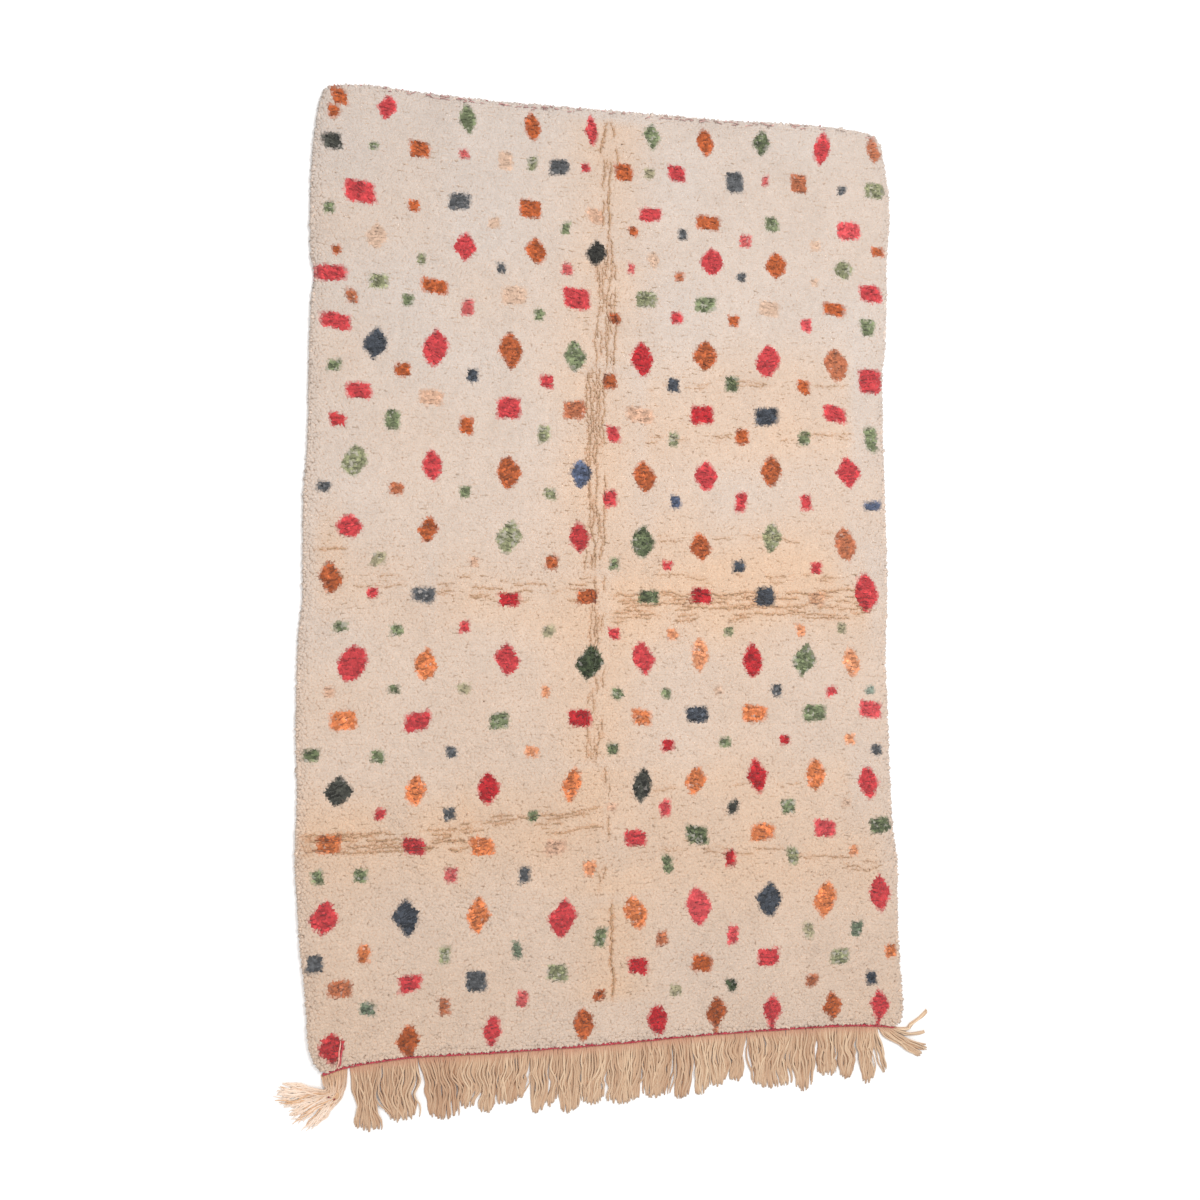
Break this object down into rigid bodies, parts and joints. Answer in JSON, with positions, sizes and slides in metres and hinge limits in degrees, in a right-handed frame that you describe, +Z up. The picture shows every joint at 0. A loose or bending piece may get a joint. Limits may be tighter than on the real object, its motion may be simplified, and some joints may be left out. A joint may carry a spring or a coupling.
{
  "type": "beni ourain rug",
  "caption": "Hand-knotted shaggy wool rug with a lozenge and block pattern, red end cords, a fringe at one end and a corner tassel.",
  "frame": {"origin": "middle of the pile field, on the underside that lies on the floor", "axes": "+Z up out of the pile; +Y along the length towards the plain end, away from the fringe; +X across to the right, seen from above with the fringe nearest"},
  "size_m": [1.6773, 2.5732, 0.0296],
  "materials": {
    "pile_wool": "undyed cream hand-spun wool pile with dyed lozenges and blocks, matte",
    "red_wool": "red twined wool cord, matte",
    "fringe_wool": "undyed beige wool warp yarn, loosely twisted, matte",
    "foundation_wool": "woven wool foundation seen on the back, ribbed by its rows of knots, matte"
  },
  "bodies": {
    "root": {"pile_slab": "pile_wool", "fringe_end_cord": "red_wool", "plain_end_cord": "red_wool", "fringe": "fringe_wool", "corner_tassel": "fringe_wool"}
  },
  "joints": []
}
